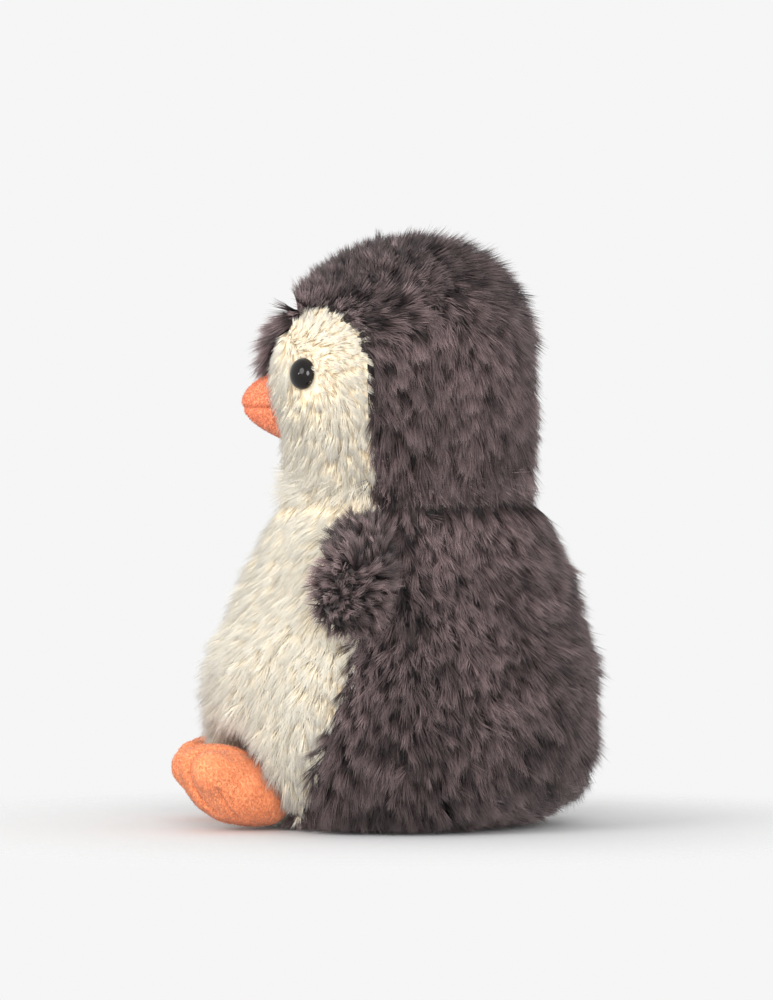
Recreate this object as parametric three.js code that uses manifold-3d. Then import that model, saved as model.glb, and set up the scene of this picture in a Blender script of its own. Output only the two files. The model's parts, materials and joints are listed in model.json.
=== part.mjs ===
// Plush penguin that sits, 23 cm tall: sewn long-pile panels over fibre fill, a pellet pouch in the base,
// locked plastic eyes, a stuffed beak, two stuffed wings and two stuffed webbed feet.
// Millimetres, +Z up, the front towards -Y and the penguin's left towards +X.
import * as THREE from "three";
import { mergeVertices } from "three/addons/utils/BufferGeometryUtils.js";
import Module from "manifold-3d";

const wasm = await Module();
wasm.setup();

// ---------------------------------------------------------------- driving dimensions
const GAP = 0.3; // between two pieces that touch
const PLUSH = 7; // a long-pile panel: backing cloth with its pile pressed flat
const VELOUR = 2.2; // a short-pile panel of a foot
const BEAK_CLOTH = 1.8;
const POUCH_CLOTH = 1;
const AROUND = 24; // facets round the body and the head

// Oval stations of the body and the head: height, foremost Y, rearmost Y and half width.
const BODY = [
  { z: 0, front: -40, back: 50, half: 47 },
  { z: 4, front: -51, back: 61, half: 57 },
  { z: 13, front: -60, back: 72, half: 64.5 },
  { z: 27, front: -66, back: 78.5, half: 69.5 },
  { z: 45, front: -68.5, back: 80, half: 71 },
  { z: 62, front: -68, back: 79, half: 69.5 },
  { z: 78, front: -63.5, back: 75, half: 65.5 },
  { z: 93, front: -56, back: 70.5, half: 60.5 },
  { z: 108, front: -48, back: 66, half: 55.5 },
  { z: 119, front: -42, back: 60, half: 51.5 },
  { z: 136, front: -39, back: 54, half: 48.5 },
];
const HEAD = [
  { z: 122, front: -38, back: 53, half: 48 },
  { z: 136, front: -39, back: 55, half: 50 },
  { z: 148, front: -41, back: 56, half: 53.5 },
  { z: 161, front: -45, back: 56.5, half: 56 },
  { z: 175, front: -48, back: 56, half: 56.5 },
  { z: 188, front: -45.5, back: 55, half: 54.5 },
  { z: 200, front: -38.5, back: 51.5, half: 49 },
  { z: 210, front: -29, back: 46, half: 41 },
  { z: 218, front: -18, back: 37, half: 30 },
  { z: 224, front: -5, back: 24, half: 16.5 },
  { z: 226.5, front: 4, back: 15, half: 6 },
];
const BODY_MIDDLE = 60; // the height from which a panel's thickness also lifts its lower end
const HEAD_MIDDLE = 175; // and lowers its upper end

// The neck: a groove that opens outwards, with a ball of fibre in its middle.
const NECK = new THREE.Vector3(0, 7.5, 130);
const NECK_OPENING = THREE.MathUtils.degToRad(4.8); // each side of the groove's middle plane
const NECK_BALL = 27;
const NECK_CLEARANCE = 0.8;
const NECK_PLUG = { radius: 19, depth: 36 };

// Seams, as points that a smooth line joins. Side seams are (Y, Z) and the crown's is (X, Z).
const BELLY_SEAM = [[-36, -2], [-32, 10], [-25, 29], [-18, 48], [-11.5, 68], [-6, 98], [-3, 140]];
const FACE_SEAM = [
  [-3, 118], [-5, 140], [-6.5, 165], [-8, 180], [-12, 190], [-19, 196], [-30, 198], [-46, 197],
];
const PEAK_SEAM = [[3.5, 172], [5, 180], [8, 187], [14, 193], [24, 198], [33, 206], [38, 216], [38, 232]];
const NAPE_SEAM = [[12, 116], [14, 136], [20, 158], [28, 180], [35, 200], [38, 216], [38, 232]];
const CROWN_JOIN = 8; // the Y at which the peak's outline and the nape's join
const FAR = 120; // past the object in every direction

const BASE = { centre: 5, across: 51, along: 47, height: 9 }; // the oval panel underneath
const POUCH = { centre: 8, across: 40, along: 42, low: 8, high: 27 };

const EYE = {
  z: 174.5,
  y: -34,
  radius: 6,
  height: 5, // of its dome
  seat: 4.6, // how deep the dome's back sits in the panel
  shank: 2.1, // the radius of the stem
  length: 14, // of the stem, from the panel's outside
  barb: 0.35, // how far the stem's rings stand out
  lean: 0.0012, // how much it faces up
};
const WASHER = { radius: 6.5, thick: 1.6, from: 9.2, slack: 0.35 };
const BEAK = { z: 163.8, tip: -57, root: -38.5, halfHeight: 16, halfWidth: 12.5, mouth: 162 };

const WING = {
  hinge: new THREE.Vector3(57.2, -9, 114),
  hang: THREE.MathUtils.degToRad(42), // from straight down, outwards
  sweep: THREE.MathUtils.degToRad(-8), // forwards
  cloth: 4.5,
  root: 7.2, // the radius of its rounded root
  clear: 0.9, // round the root, in the body
  hollow: 27, // from front to back, of the hollow that the root turns in
};
// Stations along the wing, down from its hinge: depth, half thickness and half width.
const WING_STATIONS = [
  { z: -51, thick: 2, wide: 3.5 },
  { z: -47.5, thick: 5.6, wide: 9 },
  { z: -39, thick: 8.8, wide: 13.8 },
  { z: -27, thick: 10, wide: 15.8 },
  { z: -13, thick: 8.8, wide: 14.4 },
  { z: 0, thick: 7.2, wide: 12 },
  { z: 5, thick: 5.2, wide: 10 },
  { z: 7.2, thick: 1.8, wide: 6 },
];

const FOOT = {
  heel: new THREE.Vector3(25, -43, 12.5), // on the hinge of the foot
  pitch: THREE.MathUtils.degToRad(33), // toes up
  splay: THREE.MathUtils.degToRad(20), // toes out
  sole: -6, // the height of the seam between upper and sole, in the foot's own frame
  lift: 12, // degrees
  clear: 1.8, // between a foot and the body's panels
};
// Stations along the foot, from behind its heel to its toes: place, half width, half thickness and height.
const FOOT_STATIONS = [
  { y: 8, wide: 5, thick: 4, high: -2 },
  { y: 5, wide: 11, thick: 9, high: -2.6 },
  { y: -4, wide: 16.5, thick: 13.2, high: -4 },
  { y: -14, wide: 19.5, thick: 16, high: -5 },
  { y: -24, wide: 20, thick: 15, high: -5.8 },
  { y: -31.5, wide: 17, thick: 12, high: -6 },
  { y: -37, wide: 11, thick: 7.5, high: -5.6 },
  { y: -39.5, wide: 5, thick: 3, high: -5.4 },
];
const TOE = { spread: 13, radius: 8, thick: 9.6, reach: 11, high: -6.6, middle: -31, outer: -29.5 };

// ---------------------------------------------------------------- materials
function cloth(name, color, roughness = 0.95) {
  return new THREE.MeshStandardMaterial({ name, color, roughness, metalness: 0 });
}
const greyPlush = cloth("grey_plush", 0x544949);
const creamPlush = cloth("cream_plush", 0xebdfcf);
const orangePlush = cloth("orange_plush", 0xee9664);
const fibreFill = cloth("fibre_fill", 0xf4f2ee);
const pouchCloth = cloth("pouch_cloth", 0xd8d4cc);
const pellets = cloth("pellets", 0xe6e6e2, 0.5);
const eyeBlack = cloth("eye_black", 0x17120f, 0.08);
const washerPlastic = cloth("washer_plastic", 0xeeeeea, 0.4);

// ---------------------------------------------------------------- solids
/** A closed geometry as a solid that can be cut and joined. */
function solid(geometry) {
  const bare = geometry.clone();
  bare.deleteAttribute("normal");
  bare.deleteAttribute("uv");
  const merged = mergeVertices(bare, 1e-4);
  return new wasm.Manifold(
    new wasm.Mesh({
      numProp: 3,
      vertProperties: new Float32Array(merged.attributes.position.array),
      triVerts: new Uint32Array(merged.index.array),
    }),
  );
}

/** The largest piece of a solid, as a geometry: a cut can leave a crumb beside it. */
function geometryOf(manifold) {
  const largest = manifold.decompose().reduce((a, b) => (a.volume() > b.volume() ? a : b));
  const mesh = largest.getMesh();
  const geometry = new THREE.BufferGeometry();
  geometry.setAttribute("position", new THREE.BufferAttribute(mesh.vertProperties, 3));
  geometry.setIndex(new THREE.BufferAttribute(mesh.triVerts, 1));
  geometry.computeVertexNormals();
  return geometry;
}

/** A closed skin through rings of points, with a flat cap on each end. */
function loft(rings) {
  const count = rings[0].length;
  const middle = (ring) =>
    ring.reduce((sum, p) => sum.add(p), new THREE.Vector3()).divideScalar(count);
  const points = [...rings.flat(), middle(rings[0]), middle(rings.at(-1))];
  const [low, high] = [points.length - 2, points.length - 1];
  const last = (rings.length - 1) * count;
  const faces = [];
  for (let i = 0; i < count; i++) {
    const next = (i + 1) % count;
    faces.push(low, next, i, high, last + i, last + next);
    for (let row = 0; row < last; row += count) {
      const above = row + count;
      faces.push(row + i, row + next, above + next, row + i, above + next, above + i);
    }
  }
  const geometry = new THREE.BufferGeometry().setFromPoints(points);
  geometry.setIndex(faces);
  return geometry;
}

/** An oval ring at height z. */
function oval(x, y, z, halfX, halfY, count) {
  return Array.from({ length: count }, (_, i) => {
    const turn = (2 * Math.PI * i) / count;
    return new THREE.Vector3(x + halfX * Math.cos(turn), y + halfY * Math.sin(turn), z);
  });
}

/** The body or the head, taken in by depth all round and at its closed end. */
function torso(stations, depth, middle, closedEnd) {
  return solid(
    loft(
      stations.map((s) => {
        const share = Math.max(0, (s.z - middle) / (closedEnd - middle));
        const z = s.z + Math.sign(middle - closedEnd) * depth * share;
        const [halfX, halfY] = [s.half - depth, (s.back - s.front) / 2 - depth];
        return oval(0, (s.front + s.back) / 2, z, Math.max(halfX, 2), Math.max(halfY, 2), AROUND);
      }),
    ),
  );
}

/** A turned solid about a vertical axis, from a profile of (radius, height) that runs upwards. */
function turned(profile, count = 22) {
  const points = profile.map(([r, z]) => new THREE.Vector2(r, z));
  return new THREE.LatheGeometry(points, count).rotateX(Math.PI / 2);
}

const ACROSS = new THREE.Matrix4().makeBasis(
  new THREE.Vector3(0, 1, 0),
  new THREE.Vector3(0, 0, 1),
  new THREE.Vector3(1, 0, 0),
);
const FORWARDS = new THREE.Matrix4().makeBasis(
  new THREE.Vector3(1, 0, 0),
  new THREE.Vector3(0, 0, 1),
  new THREE.Vector3(0, -1, 0),
);

/** An outline, extruded by length and placed by a matrix. */
function slab(outline, length, matrix) {
  const geometry = new THREE.ExtrudeGeometry(new THREE.Shape(outline), {
    depth: length,
    bevelEnabled: false,
  });
  return solid(geometry.applyMatrix4(matrix));
}

function smooth(points, steps = 14) {
  return new THREE.SplineCurve(points.map(([u, v]) => new THREE.Vector2(u, v))).getPoints(steps);
}

/** Everything in front of a side seam, right across the object. by moves the seam back and up. */
function inFrontOf(seam, by = 0) {
  const line = smooth(seam).map((p) => new THREE.Vector2(p.x + by, p.y + by));
  const [first, last] = [line[0], line.at(-1)];
  const outline = [...line, new THREE.Vector2(-FAR, last.y), new THREE.Vector2(-FAR, first.y)];
  return slab(outline, 2 * FAR, ACROSS).translate([-FAR, 0, 0]);
}

/** Everything between a seam and its mirror image, for Y from start forwards by length. */
function between(seam, start, length, by = 0) {
  const line = smooth(seam, 10);
  const right = line.map((p) => new THREE.Vector2(p.x + by, p.y));
  const left = line.map((p) => new THREE.Vector2(-p.x - by, p.y)).reverse();
  return slab([...right, ...left], length, FORWARDS).translate([0, start, 0]);
}

function leftHalf() {
  const half = new THREE.BoxGeometry(FAR, 2 * FAR, 3 * FAR).translate(FAR / 2 + GAP / 2, 0, FAR);
  return solid(half);
}

// ---------------------------------------------------------------- the neck
const slope = Math.tan(NECK_OPENING);
const aboveBody = solid(
  turned([[0, -0.4], [FAR, -0.4 - FAR * slope], [FAR, FAR], [0, FAR]]).translate(...NECK),
);
const belowHead = solid(
  turned([[0, -FAR], [FAR, -FAR], [FAR, 0.4 + FAR * slope], [0, 0.4]]).translate(...NECK),
);

/** The ball of fibre in the neck, with the plug below it that the head turns on. grown adds clearance. */
function neckShape(grown = 0) {
  const ball = NECK_BALL + grown;
  const plug = NECK_PLUG.radius + grown;
  const low = -NECK_PLUG.depth - grown;
  const shoulder = -Math.sqrt(ball * ball - plug * plug);
  const arc = Array.from({ length: 11 }, (_, i) => {
    const from = Math.atan2(shoulder, plug);
    const angle = from + ((Math.PI / 2 - from) * i) / 10;
    return [ball * Math.cos(angle), ball * Math.sin(angle)];
  });
  arc[10][0] = 0;
  return solid(turned([[0, low], [plug, low], ...arc]).translate(...NECK));
}

// ---------------------------------------------------------------- feet
/** Moves a solid from the left foot's own frame to its place, with the toes lifted by degrees. */
function placeFoot(manifold, degrees = 0) {
  const turn = new THREE.Matrix4().makeRotationZ(FOOT.splay);
  turn.multiply(new THREE.Matrix4().makeRotationX(-FOOT.pitch - THREE.MathUtils.degToRad(degrees)));
  turn.setPosition(FOOT.heel);
  return manifold.transform(turn.elements);
}

/** The left foot without its toes, in the foot's own frame. */
function padShape(grown, count) {
  const rings = [...FOOT_STATIONS].reverse().map((s) =>
    oval(0, -s.high, s.y, s.wide + grown, s.thick + grown, count).map(
      (p) => new THREE.Vector3(p.x, p.z, -p.y),
    ),
  );
  const ends = [rings[0], rings.at(-1)];
  ends.forEach((ring, i) => ring.forEach((p) => (p.y += i ? grown : -grown)));
  return solid(loft(rings));
}

/** The left foot with its three toes, in the foot's own frame. */
function footShape(grown, count) {
  return [-1, 0, 1].reduce((foot, side) => {
    const toe = new THREE.SphereGeometry(1, count - 4, count / 2 - 1);
    toe.scale(TOE.radius + grown, TOE.reach + grown, TOE.thick + grown);
    toe.translate(side * TOE.spread, side ? TOE.outer : TOE.middle, TOE.high);
    return foot.add(solid(toe));
  }, padShape(grown, count));
}

const footRoom = [0, FOOT.lift + 2]
  .map((degrees) => placeFoot(padShape(FOOT.clear, 12), degrees))
  .reduce((a, b) => a.add(b));
const bothFeetRoom = footRoom.add(footRoom.scale([-1, 1, 1]));

function footPieces() {
  const outer = footShape(0, 16);
  const inner = footShape(-VELOUR, 12);
  const fill = footShape(-VELOUR - GAP, 12);
  const shell = outer.subtract(inner);
  const above = solid(
    new THREE.BoxGeometry(FAR, FAR, FAR).translate(0, 0, FAR / 2 + FOOT.sole + GAP / 2),
  );
  const below = solid(
    new THREE.BoxGeometry(FAR, FAR, FAR).translate(0, 0, -FAR / 2 + FOOT.sole - GAP / 2),
  );
  return {
    upper: geometryOf(placeFoot(shell.intersect(above))),
    sole: geometryOf(placeFoot(shell.intersect(below))),
    stuffing: geometryOf(placeFoot(fill)),
  };
}

// ---------------------------------------------------------------- wings
const wingTurn = new THREE.Matrix4()
  .makeRotationY(-WING.hang)
  .multiply(new THREE.Matrix4().makeRotationX(WING.sweep))
  .setPosition(WING.hinge);

function wingShape(depth) {
  const ends = [WING_STATIONS[0].z, WING_STATIONS.at(-1).z];
  const length = ends[1] - ends[0];
  const rings = WING_STATIONS.map((s) => {
    const z = s.z + depth * (1 - (2 * (s.z - ends[0])) / length);
    return oval(0, 0, z, Math.max(s.thick - depth, 1), Math.max(s.wide - depth, 1.5), 16);
  });
  return solid(loft(rings));
}

function wingPieces() {
  const shell = wingShape(0).subtract(wingShape(WING.cloth));
  const outside = solid(
    new THREE.BoxGeometry(FAR, FAR, 2 * FAR).translate(FAR / 2 + GAP / 2, 0, 0),
  );
  const place = (manifold) => geometryOf(manifold.transform(wingTurn.elements));
  return {
    outer: place(shell.intersect(outside)),
    inner: place(shell.intersect(outside.scale([-1, 1, 1]))),
    stuffing: place(wingShape(WING.cloth + GAP)),
  };
}

/** The hollow at the shoulder that the wing's rounded root turns in. */
const hollow = WING.root + WING.clear;
const shoulder = solid(
  new THREE.CylinderGeometry(hollow, hollow, WING.hollow, 14).translate(...WING.hinge),
);
const bothShoulders = shoulder.add(shoulder.scale([-1, 1, 1]));

// ---------------------------------------------------------------- beak
/** The beak's outside, a blunt dome that is taken in by depth. */
function beakShape(depth, root = BEAK.root) {
  const full = BEAK.root - BEAK.tip;
  const length = root - BEAK.tip - depth;
  const profile = Array.from({ length: 8 }, (_, i) => {
    const along = length * (i / 7) ** 2;
    return [Math.sqrt(along / full), along];
  });
  const dome = turned([...profile, [0, length]], 18);
  dome.rotateX(-Math.PI / 2).scale(BEAK.halfWidth - depth, 1, BEAK.halfHeight - depth);
  return solid(dome.translate(0, BEAK.tip + depth, BEAK.z));
}

function beakPieces() {
  const shell = beakShape(0).subtract(beakShape(BEAK_CLOTH, BEAK.root + 1));
  const above = solid(
    new THREE.BoxGeometry(FAR, 3 * FAR, FAR).translate(0, 0, BEAK.mouth + (FAR + GAP) / 2),
  );
  const below = solid(
    new THREE.BoxGeometry(FAR, 3 * FAR, FAR).translate(0, 0, BEAK.mouth - (FAR + GAP) / 2),
  );
  return {
    upper: geometryOf(shell.intersect(above)),
    lower: geometryOf(shell.intersect(below)),
    stuffing: geometryOf(beakShape(BEAK_CLOTH + GAP)),
  };
}

// ---------------------------------------------------------------- eyes
const faceRing = HEAD.find((s) => s.z === 175);
const eyeSpot = (() => {
  const middle = (faceRing.front + faceRing.back) / 2;
  const deep = (faceRing.back - faceRing.front) / 2;
  const x = faceRing.half * Math.sqrt(1 - ((EYE.y - middle) / deep) ** 2);
  const out = new THREE.Vector3(x / faceRing.half ** 2, (EYE.y - middle) / deep ** 2, EYE.lean);
  return { at: new THREE.Vector3(x, EYE.y, EYE.z), out: out.normalize() };
})();
const eyeTurn = new THREE.Matrix4().makeRotationFromQuaternion(
  new THREE.Quaternion().setFromUnitVectors(new THREE.Vector3(0, 0, 1), eyeSpot.out),
);
eyeTurn.setPosition(eyeSpot.at);

/** A solid turned about the left eye's axis, where height 0 is the outside of the head. */
function onEyeAxis(profile, count = 16) {
  return solid(turned(profile, count)).transform(eyeTurn.elements);
}

function eyeShape() {
  const { radius, height, seat, shank, length, barb } = EYE;
  const dome = Array.from({ length: 6 }, (_, i) => {
    const angle = (Math.PI / 2) * (i / 5);
    return [i === 5 ? 0 : radius * Math.cos(angle), 0.8 - seat + height * Math.sin(angle)];
  });
  const rings = [2, 4.5, 7].flatMap((down) => [
    [shank, -length + down],
    [shank + barb, -length + down + 0.4],
    [shank, -length + down + 0.9],
  ]);
  return onEyeAxis([
    [0, -length],
    [shank - 0.6, -length],
    ...rings,
    [shank, -seat],
    [radius, -seat],
    ...dome,
  ]);
}

function washerShape() {
  const hole = EYE.shank + EYE.barb + WASHER.slack;
  const [low, high] = [-WASHER.from - WASHER.thick, -WASHER.from];
  return onEyeAxis([[hole, low], [WASHER.radius, low], [WASHER.radius, high], [hole, high], [hole, low]]);
}

const eyeRoom = onEyeAxis([
  [0, -EYE.length - 1],
  [EYE.shank + 0.75, -EYE.length - 1],
  [EYE.shank + 0.75, -EYE.seat - GAP],
  [EYE.radius + 0.4, -EYE.seat - GAP],
  [EYE.radius + 0.4, 12],
  [0, 12],
]);
const washerRoom = onEyeAxis([
  [0, -EYE.length - 1],
  [WASHER.radius + 0.5, -EYE.length - 1],
  [WASHER.radius + 0.5, -PLUSH + 2],
  [0, -PLUSH + 2],
]);

// ---------------------------------------------------------------- head panels
const headOutside = torso(HEAD, 0, HEAD_MIDDLE, HEAD.at(-1).z);
const headInside = torso(HEAD, PLUSH, HEAD_MIDDLE, HEAD.at(-1).z);
const beakRoom = beakShape(-0.5);

/** The strip over the crown, from the peak on the forehead to the nape. */
function gussetRegion(grown = 0) {
  const nape = between(NAPE_SEAM, FAR, FAR - CROWN_JOIN + 0.01, grown);
  return between(PEAK_SEAM, CROWN_JOIN, FAR, grown).add(nape);
}

function headPieces() {
  const shell = headOutside.subtract(headInside).subtract(belowHead).subtract(beakRoom);
  const gusset = gussetRegion();
  const gussetRoom = gussetRegion(GAP);
  const left = leftHalf();
  const face = shell.intersect(inFrontOf(FACE_SEAM)).subtract(gussetRoom).intersect(left);
  const side = shell.subtract(inFrontOf(FACE_SEAM, GAP)).subtract(gussetRoom).intersect(left);
  const washers = washerRoom.add(washerRoom.scale([-1, 1, 1]));
  const stuffing = torso(HEAD, PLUSH + GAP, HEAD_MIDDLE, HEAD.at(-1).z)
    .subtract(belowHead)
    .subtract(neckShape(NECK_CLEARANCE))
    .subtract(beakRoom)
    .subtract(washers);
  return {
    face: geometryOf(face.subtract(eyeRoom)),
    side: geometryOf(side),
    gusset: geometryOf(shell.intersect(gusset)),
    stuffing: geometryOf(stuffing),
  };
}

// ---------------------------------------------------------------- body panels
function baseRegion(grown = 0) {
  const rings = [-20, BASE.height + grown].map((z) =>
    oval(0, BASE.centre, z, BASE.across + grown, BASE.along + grown, AROUND),
  );
  return solid(loft(rings));
}

function pouchShape(depth) {
  const middle = (POUCH.low + POUCH.high) / 2;
  const tall = (POUCH.high - POUCH.low) / 2 - depth;
  const rings = Array.from({ length: 7 }, (_, i) => {
    const angle = (-0.5 + i / 6) * Math.PI * 0.94;
    const wide = Math.cos(angle) ** 0.6;
    const z = middle + (tall * Math.sin(angle)) / Math.sin(0.47 * Math.PI);
    return oval(0, POUCH.centre, z, (POUCH.across - depth) * wide, (POUCH.along - depth) * wide, 20);
  });
  return solid(loft(rings));
}

function pouchPieces() {
  const shell = pouchShape(0).subtract(pouchShape(POUCH_CLOTH));
  const middle = (POUCH.low + POUCH.high) / 2;
  const above = solid(
    new THREE.BoxGeometry(2 * FAR, 2 * FAR, FAR).translate(0, 0, middle + (FAR + GAP) / 2),
  );
  const below = solid(
    new THREE.BoxGeometry(2 * FAR, 2 * FAR, FAR).translate(0, 0, middle - (FAR + GAP) / 2),
  );
  return {
    top: geometryOf(shell.intersect(above)),
    bottom: geometryOf(shell.intersect(below)),
    pellets: geometryOf(pouchShape(POUCH_CLOTH + GAP)),
  };
}

function bodyPieces() {
  const outside = torso(BODY, 0, BODY_MIDDLE, 0);
  const inside = torso(BODY, PLUSH, BODY_MIDDLE, 0);
  const shell = outside.subtract(inside).subtract(aboveBody);
  const rest = shell.subtract(baseRegion(GAP)).subtract(bothFeetRoom);
  const back = rest.subtract(inFrontOf(BELLY_SEAM, GAP)).intersect(leftHalf());
  const pouchWell = solid(
    loft(
      [-10, POUCH.high + 1].map((z) =>
        oval(0, POUCH.centre, z, POUCH.across + 0.6, POUCH.along + 0.6, AROUND),
      ),
    ),
  );
  const stuffing = torso(BODY, PLUSH + GAP, BODY_MIDDLE, 0)
    .subtract(aboveBody)
    .subtract(neckShape(NECK_CLEARANCE))
    .subtract(bothFeetRoom)
    .subtract(pouchWell)
    .subtract(bothShoulders);
  return {
    belly: geometryOf(rest.intersect(inFrontOf(BELLY_SEAM)).subtract(bothShoulders)),
    back: geometryOf(back.subtract(shoulder)),
    base: geometryOf(shell.intersect(baseRegion()).subtract(bothFeetRoom)),
    stuffing: geometryOf(stuffing),
  };
}

// ---------------------------------------------------------------- assembly
const penguin = new THREE.Group();

function add(name, geometry, material, mirrored = false) {
  const mesh = new THREE.Mesh(geometry, material);
  mesh.name = name;
  if (mirrored) mesh.scale.x = -1;
  penguin.add(mesh);
}

/** Adds a piece of the left side and its mirror image on the right. */
function addPair(name, geometry, material) {
  add(name.replace("SIDE", "left"), geometry, material);
  add(name.replace("SIDE", "right"), geometry, material, true);
}

const body = bodyPieces();
add("belly_panel", body.belly, creamPlush);
addPair("back_panel_SIDE", body.back, greyPlush);
add("base_panel", body.base, greyPlush);
add("body_stuffing", body.stuffing, fibreFill);

const pouch = pouchPieces();
add("pouch_top", pouch.top, pouchCloth);
add("pouch_bottom", pouch.bottom, pouchCloth);
add("pouch_pellets", pouch.pellets, pellets);

add("neck_stuffing", geometryOf(neckShape()), fibreFill);

const head = headPieces();
addPair("face_panel_SIDE", head.face, creamPlush);
addPair("head_side_panel_SIDE", head.side, greyPlush);
add("crown_gusset", head.gusset, greyPlush);
add("head_stuffing", head.stuffing, fibreFill);

const beak = beakPieces();
add("beak_upper", beak.upper, orangePlush);
add("beak_lower", beak.lower, orangePlush);
add("beak_stuffing", beak.stuffing, fibreFill);

addPair("eye_SIDE", geometryOf(eyeShape()), eyeBlack);
addPair("eye_washer_SIDE", geometryOf(washerShape()), washerPlastic);

const wing = wingPieces();
addPair("wing_outer_SIDE", wing.outer, greyPlush);
addPair("wing_inner_SIDE", wing.inner, greyPlush);
addPair("wing_stuffing_SIDE", wing.stuffing, fibreFill);

const foot = footPieces();
addPair("foot_upper_SIDE", foot.upper, orangePlush);
addPair("foot_sole_SIDE", foot.sole, orangePlush);
addPair("foot_stuffing_SIDE", foot.stuffing, fibreFill);

// The origin is under the middle of the whole toy.
penguin.position.y = -new THREE.Box3().setFromObject(penguin).getCenter(new THREE.Vector3()).y;

export default penguin;
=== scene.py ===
"""A seated plush penguin with long pile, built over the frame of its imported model.

Metres, +Z up, the front towards -Y and the penguin's left towards +X. Each stuffed form is a closed skin,
grown from its CAD nodes and blown up by a cloth simulation. The pile is real geometry: tapered strands,
gathered in locks.
"""

import json
import math

import bmesh
import bpy
import numpy as np
from mathutils import Matrix, Vector
from mathutils.bvhtree import BVHTree


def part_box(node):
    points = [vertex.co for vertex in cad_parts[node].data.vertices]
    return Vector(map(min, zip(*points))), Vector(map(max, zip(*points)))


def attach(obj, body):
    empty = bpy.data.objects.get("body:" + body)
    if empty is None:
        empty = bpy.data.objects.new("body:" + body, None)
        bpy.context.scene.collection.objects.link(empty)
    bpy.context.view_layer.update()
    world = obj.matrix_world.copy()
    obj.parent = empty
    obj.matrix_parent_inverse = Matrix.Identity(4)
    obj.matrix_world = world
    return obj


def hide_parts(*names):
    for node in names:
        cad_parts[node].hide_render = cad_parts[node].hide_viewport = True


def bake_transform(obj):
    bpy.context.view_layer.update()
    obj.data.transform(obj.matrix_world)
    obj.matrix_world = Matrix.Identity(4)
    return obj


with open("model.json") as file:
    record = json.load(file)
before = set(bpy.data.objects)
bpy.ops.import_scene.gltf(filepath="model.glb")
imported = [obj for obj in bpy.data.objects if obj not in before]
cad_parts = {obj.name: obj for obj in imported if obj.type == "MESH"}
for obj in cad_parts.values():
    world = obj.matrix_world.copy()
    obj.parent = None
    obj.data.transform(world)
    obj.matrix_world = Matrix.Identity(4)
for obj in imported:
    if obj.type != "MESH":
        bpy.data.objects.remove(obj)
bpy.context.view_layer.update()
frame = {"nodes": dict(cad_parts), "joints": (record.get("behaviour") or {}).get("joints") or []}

MM = 0.001
UP = np.array([0.0, 0.0, 1.0])
SIDES = {"left": 1, "right": -1}
JOINTS = {joint["name"]: joint for joint in frame["joints"]}

NECK = np.array(JOINTS["head_turn"]["pos_m"])
GROOVE = 4 * MM  # half the height of the neck's groove at the skin


# ---------------------------------------------------------------- meshes
def link(obj):
    bpy.context.scene.collection.objects.link(obj)
    return obj


def coordinates(mesh):
    co = np.empty(len(mesh.vertices) * 3)
    mesh.vertices.foreach_get("co", co)
    return co.reshape(-1, 3)


def set_coordinates(mesh, co):
    mesh.vertices.foreach_set("co", np.ascontiguousarray(co, dtype=np.float32).ravel())
    mesh.update()


def normals(mesh):
    found = np.empty(len(mesh.vertices) * 3)
    mesh.vertex_normals.foreach_get("vector", found)
    return found.reshape(-1, 3)


def unit(v):
    return v / np.maximum(np.linalg.norm(v, axis=-1, keepdims=True), 1e-12)


def bake_modifiers(obj):
    """The object's mesh becomes what its modifiers make of it."""
    evaluated = obj.evaluated_get(bpy.context.evaluated_depsgraph_get())
    mesh = bpy.data.meshes.new_from_object(evaluated)
    mesh.name = obj.name
    obj.modifiers.clear()
    obj.data = mesh
    return obj


def tree_of(*meshes):
    """A search tree over some meshes together."""
    joined = bmesh.new()
    for mesh in meshes:
        joined.from_mesh(mesh)
    tree = BVHTree.FromBMesh(joined)
    joined.free()
    return tree


def cad_tree(*nodes):
    return tree_of(*(frame["nodes"][node].data for node in nodes))


def distance(tree, points):
    """How far each point is from the tree's surface, less than 0 inside it."""
    found = np.empty(len(points))
    for i, point in enumerate(points):
        near, normal, _, gap = tree.find_nearest(Vector(point))
        outside = (Vector(point) - near).dot(normal) >= 0
        found[i] = gap if outside else -gap
    return found


# ---------------------------------------------------------------- stuffed forms
def rough_form(name, nodes, voxel):
    """One closed mesh round some CAD nodes, with their gaps closed."""
    joined = bmesh.new()
    for node in nodes:
        joined.from_mesh(frame["nodes"][node].data)
    mesh = bpy.data.meshes.new(name)
    joined.to_mesh(mesh)
    joined.free()
    obj = link(bpy.data.objects.new(name, mesh))
    remesh = obj.modifiers.new("Remesh", "REMESH")
    remesh.mode = "VOXEL"
    remesh.voxel_size = voxel
    bake_modifiers(obj)
    keep_largest(obj.data)
    return obj


def keep_largest(mesh):
    """Drops all but the largest connected piece of a mesh."""
    bm = bmesh.new()
    bm.from_mesh(mesh)
    unseen = set(bm.verts)
    pieces = []
    while unseen:
        waiting = [unseen.pop()]
        piece = set(waiting)
        while waiting:
            vert = waiting.pop()
            for edge in vert.link_edges:
                other = edge.other_vert(vert)
                if other in unseen:
                    unseen.discard(other)
                    piece.add(other)
                    waiting.append(other)
        pieces.append(piece)
    largest = max(pieces, key=len)
    bmesh.ops.delete(bm, geom=[v for v in bm.verts if v not in largest], context="VERTS")
    bm.to_mesh(mesh)
    bm.free()


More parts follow.
